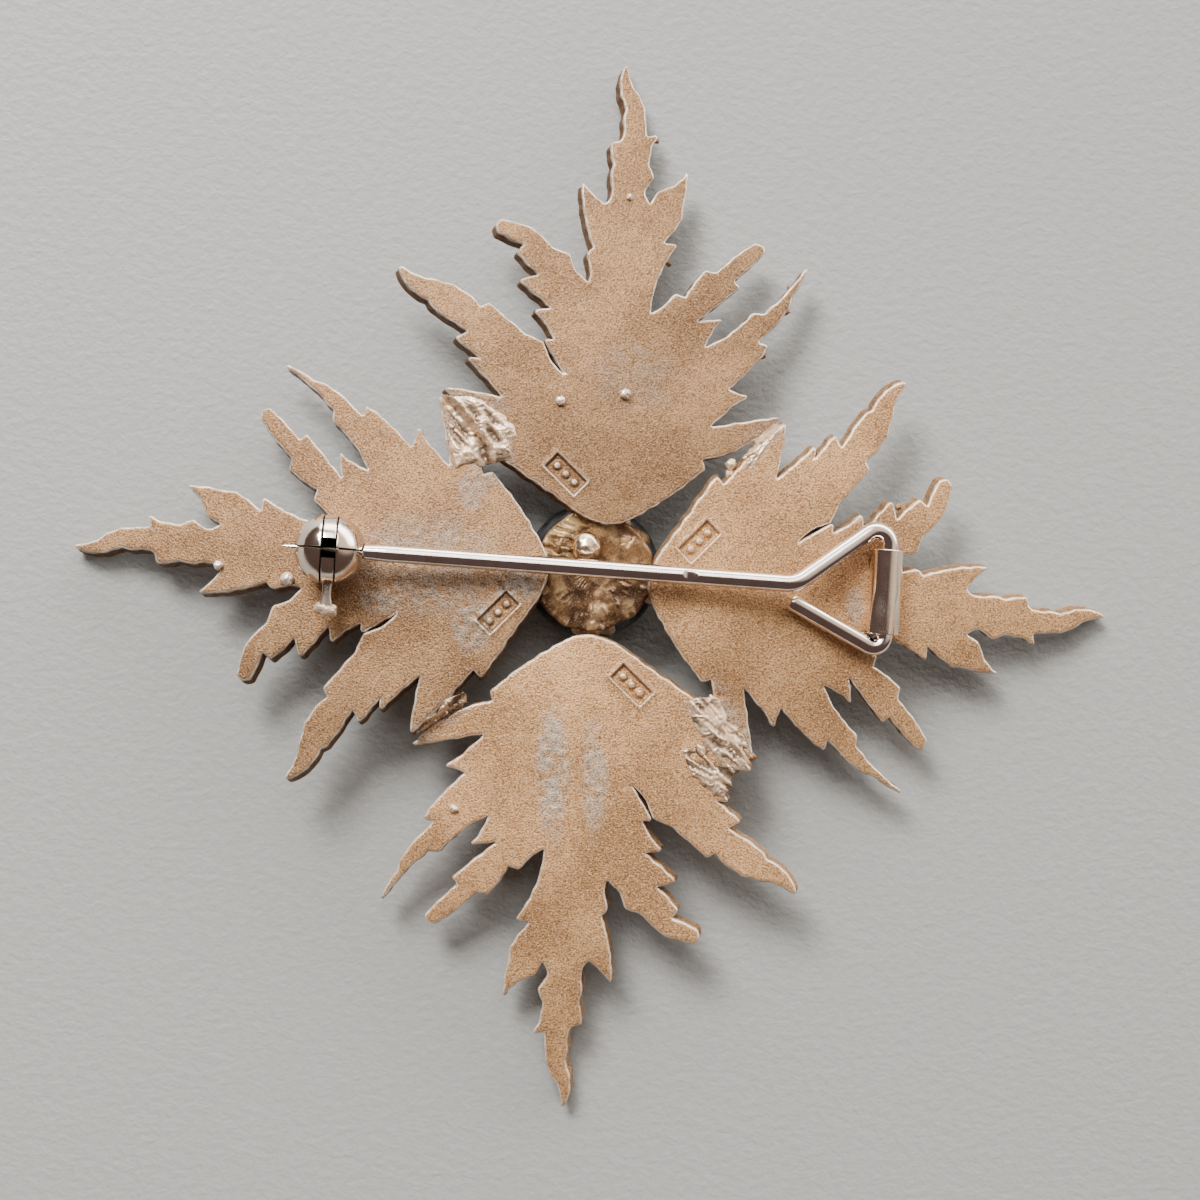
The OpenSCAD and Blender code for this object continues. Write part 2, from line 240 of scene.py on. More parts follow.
def cast_finish(name, tan, brown, grey, gloss, gritty=1.0, cloud=6.0):
    """Tan metal with brown clouds, grit with painted glints, rubbed grey patches, rims pale from wear and a
    painted highlight, painted shade where light hardly reaches, and painted shade per leaf.
    """
    material, nodes, shader, where = new_finish(name)
    rim, rubbed, hollow, painted_leaf_shade = [stored(nodes, key) for key in ("rim", "rubbed", "hollow", "painted_leaf_shade")]
    clouds = noise(nodes, where, cloud, 4.0, 0.6)
    mottle = noise(nodes, where, 0.9, 3.0, 0.6)
    grit = noise(nodes, where, 0.13, 2.0, 0.6)
    tone = nodes.mix(clouds.rise(0.4, 0.62), tan, brown)
    tone = nodes.mix(mottle.rise(0.55, 0.35) * 0.35, tone, brown)
    tone = nodes.mix(rubbed * mottle.rise(0.3, 0.6), tone, grey)
    tone = nodes.mix(grit.rise(0.5, 0.37) * (0.6 * gritty), tone, (0.07, 0.034, 0.018, 1))
    # the pale specks are painted glints on the grain; the dark specks above are its pits
    tone = nodes.mix(grit.rise(0.56, 0.66) * (0.65 * gritty), tone, (0.9, 0.6, 0.35, 1))
    # painted shade: a whole leaf darkened by its stored share, for how it faces the room's light
    tone = nodes.mix(painted_leaf_shade, tone, (0.4, 0.4, 0.42, 1), "MULTIPLY")
    # painted shade: walls, undersides, recesses and troughs darkened where light hardly reaches
    tone = nodes.mix(hollow, tone, (0.06, 0.032, 0.02, 1))
    # pale rims: partly wear on rubbed edges, partly a painted highlight where rounded edges catch the light
    wear_and_highlight = rim.rise(0.1, 0.8) * (mottle.rise(0.36, 0.62) * 0.5 + 0.4)
    tone = nodes.mix(wear_and_highlight, tone, (0.92, 0.8, 0.68, 1))
    height = grit * (0.8 * gritty) + mottle * 0.25
    rough = gloss + mottle * 0.16 - rim * 0.22
    connect(nodes, shader, Base_Color=tone, Roughness=rough, Normal=bump(nodes, height, 0.07))
    shader.inputs["Metallic"].default_value = 0.45
    shader.inputs["Specular IOR Level"].default_value = 0.15
    return material


leaf_silver = cast_finish(
    "leaf_silver", (0.68, 0.382, 0.176, 1), (0.48, 0.258, 0.119, 1), (0.54, 0.45, 0.36, 1), 0.38
)
solder_silver = cast_finish(
    "solder_silver", (0.86, 0.62, 0.41, 1), (0.62, 0.42, 0.26, 1), (0.6, 0.49, 0.39, 1), 0.22, 0.5, 1.6
)
# the cup's dark browns: tarnish, deepened by painted shade for where it sits low among the leaves
cup_silver = cast_finish(
    "cup_silver", (0.2, 0.108, 0.048, 1), (0.06, 0.03, 0.016, 1), (0.46, 0.3, 0.15, 1), 0.24, 0.3, 2.6
)


# %% Polished wire, and the stone
def polished_finish(name, silver, rough_low):
    """Bright silver: smooth, with faint lengthwise drawing marks, small dull smudges, and painted shade
    where a stored share darkens it.
    """
    material, nodes, shader, where = new_finish(name)
    smudge = noise(nodes, where, 1.6, 3.0)
    marks = noise(nodes, where, 0.25, 2.0)
    hollow = stored(nodes, "hollow")
    tone = nodes.mix(smudge.rise(0.42, 0.68) * 0.4, silver, (0.66, 0.5, 0.42, 1))
    # painted shade: darker and duller in slots and mouths and on the lever
    tone = nodes.mix(hollow, tone, (0.045, 0.028, 0.018, 1))
    rough = rough_low + smudge.rise(0.4, 0.75) * 0.1 + hollow * 0.4
    connect(nodes, shader, Base_Color=tone, Roughness=rough, Normal=bump(nodes, marks, 0.004))
    shader.inputs["Metallic"].default_value = 1.0
    return material


def stone_finish():
    """Black stone: glossy, with a trace of dust that makes it greyer in blotches."""
    material, nodes, shader, where = new_finish("black_onyx")
    dust = noise(nodes, where, 1.4, 4.0, 0.65)
    tone = nodes.mix(dust.rise(0.4, 0.8), (0.006, 0.006, 0.007, 1), (0.03, 0.03, 0.032, 1))
    connect(nodes, shader, Base_Color=tone, Roughness=0.2 + dust.rise(0.4, 0.8) * 0.25)
    shader.inputs["IOR"].default_value = 1.54
    return material


wire_silver = polished_finish("wire_silver", (0.95, 0.87, 0.81, 1), 0.07)
bead_silver = polished_finish("bead_silver", (0.9, 0.7, 0.47, 1), 0.2)
catch_silver = polished_finish("catch_silver", (0.9, 0.77, 0.65, 1), 0.12)
onyx = stone_finish()

# %% [markdown]
# ## From arrays to pieces
# Every shape ends as an array of points and an array of faces. One function makes them a mesh,
# stores the values that the finish reads, joins doubled points at poles and seams, and makes the
# piece ride on its body.


# %% Points and faces into a piece
def sheet_faces(ids, round_rows=False, round_cols=True):
    """Quads between neighbours in a table of point numbers; a round side closes on itself."""
    below = np.roll(ids, -1, axis=0)
    right = np.roll(ids, -1, axis=1)
    corner = np.roll(below, -1, axis=1)
    quads = np.stack([ids, right, corner, below], axis=-1)
    quads = quads if round_rows else quads[:-1]
    quads = quads if round_cols else quads[:, :-1]
    return quads.reshape(-1, 4)


def joined(*parts):
    """Several (points, faces) as one; the faces of each are renumbered."""
    points, faces, first = [], [], 0
    for part_points, part_faces in parts:
        points.append(part_points)
        faces += [tuple(int(i) + first for i in face) for face in part_faces]
        first += len(part_points)
    return np.concatenate(points), faces


def make_piece(name, points, faces, material, slot, body="brooch", values=None, crease=None):
    """A mesh piece in metres; each stored value is one number or one per point, and edges
    sharper than crease stay so."""
    mesh = bpy.data.meshes.new(name)
    faces = faces.tolist() if isinstance(faces, np.ndarray) else faces
    mesh.from_pydata((points / 1000).tolist(), [], faces)
    for key, value in (values or {}).items():
        layer = mesh.attributes.new(key, "FLOAT", "POINT")
        layer.data.foreach_set("value", np.full(len(points), value, dtype=np.float32))
    shape = bmesh.new()
    shape.from_mesh(mesh)
    bmesh.ops.remove_doubles(shape, verts=shape.verts, dist=2e-7)
    bmesh.ops.recalc_face_normals(shape, faces=shape.faces)
    shape.to_mesh(mesh)
    shape.free()
    mesh.shade_smooth()
    if crease is not None:
        mesh.set_sharp_from_angle(angle=np.radians(crease))
    mesh.materials.append(material)
    piece = add_object(name, mesh)
    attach(piece, body)
    return piece


# %% Small functions that many shapes share
def rise(value, low, high):
    """0 at low, 1 at high, with the smooth step 3t^2 - 2t^3 between; low may be the larger."""
    t = np.clip((value - low) / (high - low), 0, 1)
    return t * t * (3 - 2 * t)


def waves(points, size, seed, count=22):
    """Random hills of mean height 0 and spread 1: a sum of cosines that run in all directions,
    each about size millimetres long, cos(k . p + phase) times the square root of 2 / count."""
    rng = np.random.default_rng(seed)
    dims = points.shape[1]
    heads = unit(rng.normal(size=(count, dims)))
    pitch = 2 * np.pi / (size * rng.uniform(0.7, 1.5, size=(count, 1)))
    phase = rng.uniform(0, 2 * np.pi, size=count)
    total = np.zeros(len(points))
    for head, shift in zip(heads * pitch, phase):
        total += np.cos(points @ head + shift)
    return total * np.sqrt(2 / count)


def ridges(points, size, seed):
    """Crinkles: 1 minus the size of the hills' height, so that each zero line is a crest."""
    return 1 - np.abs(waves(points, size, seed))


def spun(x, y, degrees):
    """x and y turned anticlockwise."""
    c, s = np.cos(np.radians(degrees)), np.sin(np.radians(degrees))
    return x * c - y * s, x * s + y * c


def evenly_spaced(line, step, closed=True):
    """The line again, with points the same distance apart along it, and how far along they are."""
    line = np.vstack([line, line[:1]]) if closed else line
    run = np.concatenate([[0], np.cumsum(np.linalg.norm(np.diff(line, axis=0), axis=1))])
    at = np.linspace(0, run[-1], int(run[-1] / step), endpoint=not closed)
    return np.stack([np.interp(at, run, column) for column in line.T], axis=1), at


def along_line(x, y, start, end):
    """Where each point lies along a straight line, from 0 to 1, and how far from it."""
    dx, dy = end[0] - start[0], end[1] - start[1]
    t = np.clip(((x - start[0]) * dx + (y - start[1]) * dy) / (dx * dx + dy * dy), 0, 1)
    return t, np.hypot(x - start[0] - t * dx, y - start[1] - t * dy)


# %% [markdown]
# ## The outline of the leaf
# The four leaves are one casting. Its outline is a table of teeth, as in the part's source: the
# tip of each tooth, the notch after it, and how far the edges on both sides of the tip bow
# outwards. Here the corners are also rounded as a casting's are. That is easy in waves: with the
# line written as complex numbers, its Fourier series loses the short waves, and all corners
# soften alike.

# %% The table of teeth
# [tip_x, tip_y, climb_bow, notch_x, notch_y, fall_bow], in the leaf's own plan, anticlockwise
teeth = np.array([
    # the right ear
    [7.5, 7.75, 0.25, 7.25, 8.45, 0.1],
    [13.1, 11.5, 0.6, 7.85, 10.65, 0],
    [10.75, 13.05, -0.15, 9.3, 13.55, -0.1],
    [12.4, 16.75, 0.15, 11.5, 17, 0],
    [14, 19.7, 0.12, 14.35, 20.7, 0],
    [15.45, 22.65, 0.1, 12.2, 19.15, -0.2],
    [11.4, 19.1, 0, 7.65, 16.5, -0.25],
    # right lobes
    [8.95, 18.65, -0.15, 6.95, 18.4, 0],
    [10.35, 21.1, 0, 9.95, 21.7, -0.1],
    [12.3, 23.85, 0.12, 12.15, 24.2, 0],
    [11.6, 24.35, 0, 8.75, 22.1, 0.1],
    [7.95, 22.25, 0, 6.4, 20.15, 0.12],
    [5.7, 20.5, 0, 3.7, 18.9, -0.15],
    # right side of the long lobe
    [5.8, 24.15, -0.45, 4.65, 24.2, 0.05],
    [6.2, 26.15, 0.05, 6.35, 27.4, 0],
    [6.65, 29.67, 0.1, 5.75, 28.65, -0.1],
    [4.5, 28.05, 0.05, 3.9, 27.05, 0.05],
    [4.2, 29.2, -0.5, 3.85, 30.1, 0.05],
    [4.5, 32.45, -0.15, 3.75, 32.3, 0],
    [3.6, 34.6, 0, 2.8, 36.2, 0.12],
    # its tip and left side
    [2.42, 37.95, -0.05, 2.45, 34.6, 0.42],
    [2.2, 34, 0, 2.2, 32.5, 0],
    [1.24, 31.8, -0.2, 1.38, 30.3, 0.05],
    [1.12, 29, 0, 0.62, 27.1, -0.35],
    [-0.95, 28.75, -0.12, -0.2, 23.85, 0.2],
    [-0.62, 23.25, 0.1, -0.6, 21.25, -0.15],
    # left lobes
    [-2, 23.3, -0.3, -3.3, 23.85, 0],
    [-4.5, 25.1, 0.05, -5.5, 25.55, 0.05],
    [-6.9, 25.9, 0.05, -7.25, 25.6, 0],
    [-7.15, 25.1, 0, -5.15, 24.15, 0.05],
    [-5.7, 23.55, 0, -3.95, 21.75, 0.1],
    [-5.5, 21.45, 0.08, -3.05, 19.35, 0.1],
    [-4.5, 19.15, 0.05, -3.1, 17.05, -0.15],
    [-3.8, 17, 0, -2.15, 14.1, 0],
    # left ear, and the stalk end
    [-4, 16.85, -0.3, -5.3, 17.45, 0],
    [-7.95, 19.75, 0, -8.45, 19.4, 0],
    [-10.3, 21, 0.1, -12.6, 21.55, 0.05],
    [-14.3, 22.4, 0, -12.15, 20.05, 0.4],
    [-11.9, 19.5, 0, -9.2, 17.7, 0.05],
    [-10.2, 17.2, 0, -7.85, 15.3, 0.05],
    [-9.25, 15.7, 0.08, -6.65, 12.7, 0],
    [-10.95, 13.5, 0.1, -6.4, 9.1, 0.15],
    [-7, 8.55, 0, -1.2, 4.4, 0],
    [0.2, 3.85, 0, 1.6, 3.9, 0],
])


# %% A closed line, bowed and rounded
def bowed_edges(rows):
    """Both edges of every tooth as points. An edge from a to b bows by 4 t (1 - t) times its bow
    along the outward normal, (dy, -dx) / length, as t runs from 0 to 1."""
    tips, notches = rows[:, 0:2], rows[:, 3:5]
    starts = np.stack([np.roll(notches, 1, axis=0), tips], axis=1).reshape(-1, 1, 2)
    ends = np.stack([tips, notches], axis=1).reshape(-1, 1, 2)
    bow = np.stack([rows[:, 2], rows[:, 5]], axis=1).reshape(-1, 1, 1)
    t = np.linspace(0, 1, 24, endpoint=False).reshape(1, -1, 1)
    d = ends - starts
    normal = unit(np.stack([d[..., 1], -d[..., 0]], axis=-1))
    return (starts + d * t + normal * bow * 4 * t * (1 - t)).reshape(-1, 2)


def softened(line, step, width):
    """Corners rounded: the wave of frequency f shrinks by exp(-2 (pi f width)^2)."""
    series = np.fft.fft(line[:, 0] + 1j * line[:, 1])
    f = np.fft.fftfreq(len(line), step)
    line = np.fft.ifft(series * np.exp(-2 * (np.pi * f * width) ** 2))
    return np.stack([line.real, line.imag], axis=1)


def outward(line):
    """Unit normals of a closed line that runs anticlockwise: its heading turned to the right."""
    forward = np.roll(line, -1, axis=0) - np.roll(line, 1, axis=0)
    return unit(np.stack([forward[:, 1], -forward[:, 0]], axis=1))


def rim_distance(points, line):
    """Distance from each point to the closed line, and whether the point is inside it: a ray to
    the right crosses the line an odd number of times."""
    a, b = line, np.roll(line, -1, axis=0)
    d = b - a
    square = (d**2).sum(axis=1)
    gaps, inside = [], []
    for part in np.array_split(points, max(1, len(points) // 1500)):
        to = part[:, None, :] - a
        t = np.clip((to * d).sum(axis=2) / square, 0, 1)
        gaps.append(np.sqrt(((to - t[..., None] * d) ** 2).sum(axis=2)).min(axis=1))
        x, y = part[:, 0:1], part[:, 1:2]
        crosses = (a[:, 1] > y) != (b[:, 1] > y)
        edge_x = a[:, 0] + (y - a[:, 1]) * d[:, 0] / np.where(d[:, 1] == 0, 1e-12, d[:, 1])
        inside.append((crosses & (x < edge_x)).sum(axis=1) % 2 == 1)
    return np.concatenate(gaps), np.concatenate(inside)


# %% [markdown]
# The softened line then grows a little, as if a small ball had rolled round it: each point moves
# outwards by the ball's radius. In the notches the moved line crosses itself, and the points of
# such a loop are those that end up nearer to the old line than the radius, so they are left out.

# %% The rounded outline
OUTLINE_STEP, FINE_STEP = 0.13, 0.07
CORNER_SOFTNESS, TIP_RADIUS = 0.07, 0.11


def grown(line, reach):
    """The line moved outwards by reach, without the loops in its notches. The limit is a little
    under reach, because the line is made of short straight pieces."""
    moved = line + outward(line) * reach
    return moved[rim_distance(moved, line)[0] > reach * 0.985]


rim_line = evenly_spaced(bowed_edges(teeth), FINE_STEP)[0]
rim_line = softened(rim_line, FINE_STEP, CORNER_SOFTNESS)
rim_line = evenly_spaced(grown(rim_line, TIP_RADIUS), OUTLINE_STEP)[0]
rim_line = rim_line + 0.022 * np.stack([waves(rim_line, 1.1, 3), waves(rim_line, 1.1, 4)], axis=1)

# %% [markdown]
# ## Filling the outline with triangles
# The plan needs points close together at the rim, where the edge turns over, and further apart
# inside. Rings of points follow the rim at a few depths, a lattice of equal triangles fills the
# middle, a finer one the sunk panel, and a Delaunay triangulation joins them all without crossing
# the outline.

# %% Lattices, and the place of the panel
PANEL_AT = np.array([-2.45, 7.35])
PANEL_HALF_LONG, PANEL_HALF_WIDE = 1.45, 0.65


def lattice(low, high, step):
    """Points of equal triangles with sides of step, over the box from low to high."""
    x, y = np.meshgrid(np.arange(low[0], high[0], step), np.arange(low[1], high[1], step * 0.866))
    x[1::2] += step / 2
    return np.stack([x.ravel(), y.ravel()], axis=1)


def in_panel(x, y):
    """Place along and across the little panel, which lies at 45 degrees, and how far inside its
    border that is."""
    u, v = spun(x - PANEL_AT[0], y - PANEL_AT[1], 45)
    return u, v, np.minimum(PANEL_HALF_LONG - abs(u), PANEL_HALF_WIDE - abs(v))


# %% The plan mesh that all four leaves share
RING_DEPTHS = (0.03, 0.075, 0.135, 0.22, 0.32)
WIDE_STEP, PANEL_STEP = 0.25, 0.085
# the outline's own points come first
plan_parts = [rim_line]
for depth in RING_DEPTHS:
    ring = rim_line - outward(rim_line) * depth
    gap, inside = rim_distance(ring, rim_line)
    plan_parts.append(ring[inside & (gap > depth * 0.93)])
wide = lattice(rim_line.min(axis=0), rim_line.max(axis=0), WIDE_STEP)
gap, inside = rim_distance(wide, rim_line)
plan_parts.append(wide[inside & (gap > 0.42) & (in_panel(*wide.T)[2] < -0.3)])
fine = lattice(PANEL_AT - 2, PANEL_AT + 2, PANEL_STEP)
plan_parts.append(fine[in_panel(*fine.T)[2] > -0.25])
plan = np.concatenate(plan_parts)
edges = [(i, (i + 1) % len(rim_line)) for i in range(len(rim_line))]
found = delaunay_2d_cdt([Vector(p) for p in plan.tolist()], edges, [], 1, 1e-7)
order = np.array([old[0] for old in found[3]])
plan_faces = order[np.array(found[2])]
plan_gap = rim_distance(plan, rim_line)[0]
plan_gap[: len(rim_line)] = 0

# %% [markdown]
# ## The heights of a leaf
# Each leaf is a piece of a large ball and leans a little, its left side up, so that one ear
# passes over the neighbour's. The back has an edge of a quarter circle, a slow sway, the cast
# grain, the sunk panel, and solder near the corners.

# %% Where the leaves stand, and the ball they follow
PLATE = 1.3
DOME_R = 150.0
LEAN_SHIFT = DOME_R * np.sin(np.radians(3))
# the long tip's front lies on the floor
TIP_X, TIP_Y = 2.45, 37.95
DOME_Z = -np.sqrt((DOME_R - PLATE) ** 2 - (TIP_X + LEAN_SHIFT) ** 2 - TIP_Y**2)
EDGE_ROUND = 0.2
# name, turn in degrees, shift_x, shift_y, and how far painted shade darkens the leaf, for how it faces the
# room's light
castings = [
    ["leaf_top", 0.3, 0.13, 0.07, 0.9],
    ["leaf_left", 90, 0.16, -0.05, 0.84],
    ["leaf_bottom", 180.4, -0.15, -0.35, 0.0],
    ["leaf_right", 269.3, -0.17, 0.25, 0.3],
]


def ball_height(x, y, radius):
    """Height of a ball about the dome's middle: its middle's height + sqrt(r^2 - x^2 - y^2)."""
    return DOME_Z + np.sqrt(radius**2 - (x + LEAN_SHIFT) ** 2 - y**2)


def placed(leaf, x, y):
    """A leaf's own x and y turned and shifted to where that leaf was soldered."""
    turn, shift_x, shift_y = castings[leaf][1:4]
    x, y = spun(x, y, turn)
    return x + shift_x, y + shift_y


# %% The panel, the solder smears and the rubbed patches
# lines along which solder ran over the backs, in the brooch's plan: x0, y0, x1, y1, half width
smears = np.array([
    [-10.6, 12.4, -7.6, 8.3, 1.5],
    [11.0, -13.6, 7.9, -8.9, 1.5],
    [-12.8, -11.4, -9.9, -8.9, 0.8],
    [12.5, 10.6, 10.0, 8.5, 0.75],
])
# worn grey patches: leaf, x, y, half length, half width, strength
patches = np.array([
    [1, -0.2, 6.0, 1.3, 1.9, 1.0],
    [1, -3.4, 9.2, 1.9, 1.6, 0.75],
    [1, 6.3, 9.2, 1.4, 1.1, 0.7],
    [1, -1.6, 16.0, 1.1, 1.3, 0.7],
    [1, 1.0, 12.5, 3.6, 5.2, 0.6],
    [2, 3.2, 13.6, 1.2, 4.6, 0.9],
    [2, 0.2, 13.8, 0.9, 4.2, 0.7],
    [2, -9.0, 9.6, 1.2, 1.0, 0.8],
    [3, 2.0, 18.8, 1.3, 0.7, 0.8],
    [0, 2.5, 14.5, 3.0, 2.5, 0.35],
    [0, -8.2, 12.0, 1.6, 1.6, 0.6],
])
# middles of the pellets along the panel, and their radius
PELLETS, PELLET_R = (-0.85, 0, 0.85), 0.33


def panel_shape(x, y):
    """Depth of the sunk panel less its pellets, and the painted highlight and the painted shade lines
    on it. The drop is a smooth step at the border, and each pellet is the top of a ball, sqrt(r^2 - gap^2)."""
    u, v, within = in_panel(x, y)
    depth = 0.24 * rise(within, -0.05, 0.07) - 0.05 * np.exp(-(((within + 0.14) / 0.09) ** 2))
    # painted highlight along the panel's lip and, below, on the pellets' tops
    lip_highlight = 0.5 * np.exp(-(((within + 0.1) / 0.08) ** 2))
    for middle in PELLETS:
        gap = np.hypot(u - middle, v)
        depth -= np.sqrt(np.clip(PELLET_R**2 - gap**2, 0, None)) * 0.75
        lip_highlight = np.maximum(lip_highlight, 0.5 * rise(gap, 0.3, 0.15))
    # the last value is painted shade along the panel's inner border
    return depth, lip_highlight, 0.5 * np.exp(-(((within - 0.04) / 0.06) ** 2))


def near_smear(x, y):
    """1 on a smear of solder and 0 away from it, by distance to the smear's line."""
    gaps = [(along_line(x, y, row[:2], row[2:4])[1], row[4]) for row in smears]
    return np.max([rise(gap, half * 1.5, half * 0.6) for gap, half in gaps], axis=0)


def near_patch(leaf, x, y):
    """How rubbed a point is: for each ellipse 1 in its middle, falling smoothly to 0 outside."""
    return np.max([
        strength * rise(np.hypot((x - px) / half_x, (y - py) / half_y), 1.3, 0.6)
        for _, px, py, half_x, half_y, strength in patches[patches[:, 0] == leaf]
    ], axis=0)


# %% Build the four leaves
WALL_ROWS, WALL_SLANT = 4, 0.26
VEIN_START = (0.8, 7)
# veins on the front: end_x, end_y, width; all start at the stalk end
veins = np.array([
    [2.5, 34.5, 0.7],
    [-5.9, 23.9, 0.6],
    [11.2, 22.9, 0.6],
    [-12.6, 20.9, 0.6],
    [13.8, 20.2, 0.6],
    [-9.4, 12.7, 0.5],
    [11.4, 10.9, 0.5],
])


def vein_ridge(x, y):
    """Height of the veins on the front: a rounded ridge along each line, lower towards its end."""
    along = [(*along_line(x, y, VEIN_START, row[:2]), row[2]) for row in veins]
    return np.max([0.35 * rise(gap, width, 0) * (1 - 0.5 * t) for t, gap, width in along], axis=0)


def leaf_piece(leaf):
    """One leaf: its back, its front and the rows of points down the wall between them."""
    x, y = plan.T
    spot = np.stack(placed(leaf, x, y), axis=1)
    smear = near_smear(*spot.T)
    rubbed = near_patch(leaf, x, y)
    calm = rise(plan_gap, 0.0, 0.5)
    # drop of the rounded edge: r - sqrt(r^2 - (r - gap)^2)
    edge = EDGE_ROUND - np.minimum(plan_gap, EDGE_ROUND)
    edge = EDGE_ROUND - np.sqrt(EDGE_ROUND**2 - edge**2)
    back = ball_height(x, y, DOME_R) - edge
    back += 0.05 * waves(spot, 9.0, 10 + leaf) + 0.002 * waves(spot, 1.3, 20 + leaf)
    back += 0.05 * ridges(spot, 0.8, 31) * smear * calm
    back += 0.03 * waves(spot, 0.62, 32) * rubbed
    depth, lip_highlight, corner = panel_shape(x, y)
    back -= depth
    # the front lies a little to the left of the back, so that the left walls can be seen
    under_x, under_y = x - WALL_SLANT, y * 0.991
    front = ball_height(x, y, DOME_R - PLATE) + edge
    front -= vein_ridge(x, y) * calm - 0.03 * waves(spot, 1.6, 40 + leaf) * calm
    front = np.maximum(front, 0.02)

    count, n = len(plan), len(rim_line)
    level = np.linspace(0, 1, WALL_ROWS + 2)[1:-1, None]
    wall_z = back[:n] * (1 - level) + front[:n] * level
    steep = np.column_stack([np.tile(rim_line, (WALL_ROWS, 1)), wall_z.ravel() * 2])
    dent = 0.035 * waves(steep, 0.8, 50 + leaf).reshape(WALL_ROWS, n)
    slant = np.stack([under_x[:n], under_y[:n]], axis=1) - rim_line
    wall = rim_line + outward(rim_line) * (dent - 0.03)[..., None] + slant * level[..., None]

    points = np.concatenate([
        np.column_stack([spot, back]),
        np.column_stack([*placed(leaf, under_x, under_y), front]),
        np.column_stack([*placed(leaf, *wall.reshape(-1, 2).T), wall_z.ravel()]),
    ])
    ids = np.vstack([np.arange(n)[None], 2 * count + np.arange(WALL_ROWS * n).reshape(-1, n),
                     count + np.arange(n)[None]])
    faces = plan_faces.tolist() + (plan_faces[:, ::-1] + count).tolist()
    faces += sheet_faces(ids).tolist()
    elsewhere = np.zeros(len(points) - count)
    values = {
        # rim: worn edges with a painted highlight, and the panel's painted highlight lines
        "rim": np.append(np.maximum(rise(plan_gap, 0.17, 0.06), lip_highlight), elsewhere),
        "rubbed": np.append(np.maximum(rubbed, smear * 0.6), elsewhere),
        # painted shade: the panel's inner border, the underside that faces the floor, and the walls
        "hollow": np.concatenate([corner, np.full(count, 0.2), np.full(WALL_ROWS * n, 0.5)]),
        # painted shade over the whole leaf, for how it faces the room's light
        "painted_leaf_shade": castings[leaf][4],
    }
    return make_piece(castings[leaf][0], points, faces, leaf_silver, "cast_silver", values=values)


leaf_pieces = [leaf_piece(leaf) for leaf in range(4)]

# %% [markdown]
# ## Solder, beads and studs
# A lump is a closed surface round a middle point: in each direction, take how far each of a few
# balls reaches, and blend those reaches so that the largest wins softly. A little noise makes it
# crinkled or nearly smooth.


# %% Lumps made of a few balls
def lump(balls, rough, size, seed, rows=26, cols=40):
    """Closed surface about the balls' mean. Along a unit vector u a ball with centre c and radius
    r reaches b + sqrt(b^2 - c^2 + r^2), where b = u . c; reaches are blended by a high power."""
    balls = np.asarray(balls, dtype=float)
    middle = balls[:, :3].mean(axis=0)
    down = np.linspace(0, np.pi, rows)[:, None]
    round_ = np.linspace(0, 2 * np.pi, cols, endpoint=False)[None, :]
    u = np.stack([np.sin(down) * np.cos(round_), np.sin(down) * np.sin(round_),
                  np.cos(down) * np.ones_like(round_)], axis=-1).reshape(-1, 3)
    c = balls[:, :3] - middle
    b = u @ c.T
    inside = b**2 - (c**2).sum(axis=1) + balls[:, 3] ** 2
    reach = np.where(inside > 0, b + np.sqrt(np.clip(inside, 0, None)), 0)
    reach = (np.clip(reach, 0, None) ** 9).sum(axis=1) ** (1 / 9)
    points = middle + u * reach[:, None]
    hills = waves(points, size, seed) + 0.6 * waves(points, size * 0.4, seed + 1)
    points += u * (rough * hills)[:, None]
    return points, sheet_faces(np.arange(rows * cols).reshape(rows, cols))


def add_lumps(name, lumps, material, **values):
    """Several lumps of cast silver as one piece, with the same stored values all over."""
    make_piece(name, *joined(*lumps), material, "cast_silver", values=values)


# %% [markdown]
# Between the ears the solder ran out into crinkled sheets that lie over both leaves. A sheet is a
# grid between two rails. Its height starts from the backs below it: the leaf that a place is
# further inside of counts more. Towards its edges the sheet thins out and dips into the metal,
# and its underside closes it.

# %% Sheets of solder
def leaf_back(leaf, spot):
    """Height of a leaf's back over places in the brooch's plan, and how far inside the leaf's rim
    they are, negative outside. The places are turned and shifted back to the leaf's own plan."""
    turn, shift_x, shift_y = castings[leaf][1:4]
    own = spun(spot[:, 0] - shift_x, spot[:, 1] - shift_y, -turn)
    gap, inside = rim_distance(np.stack(own, axis=1), rim_line)
    return ball_height(*own, DOME_R), np.where(inside, gap, -gap)


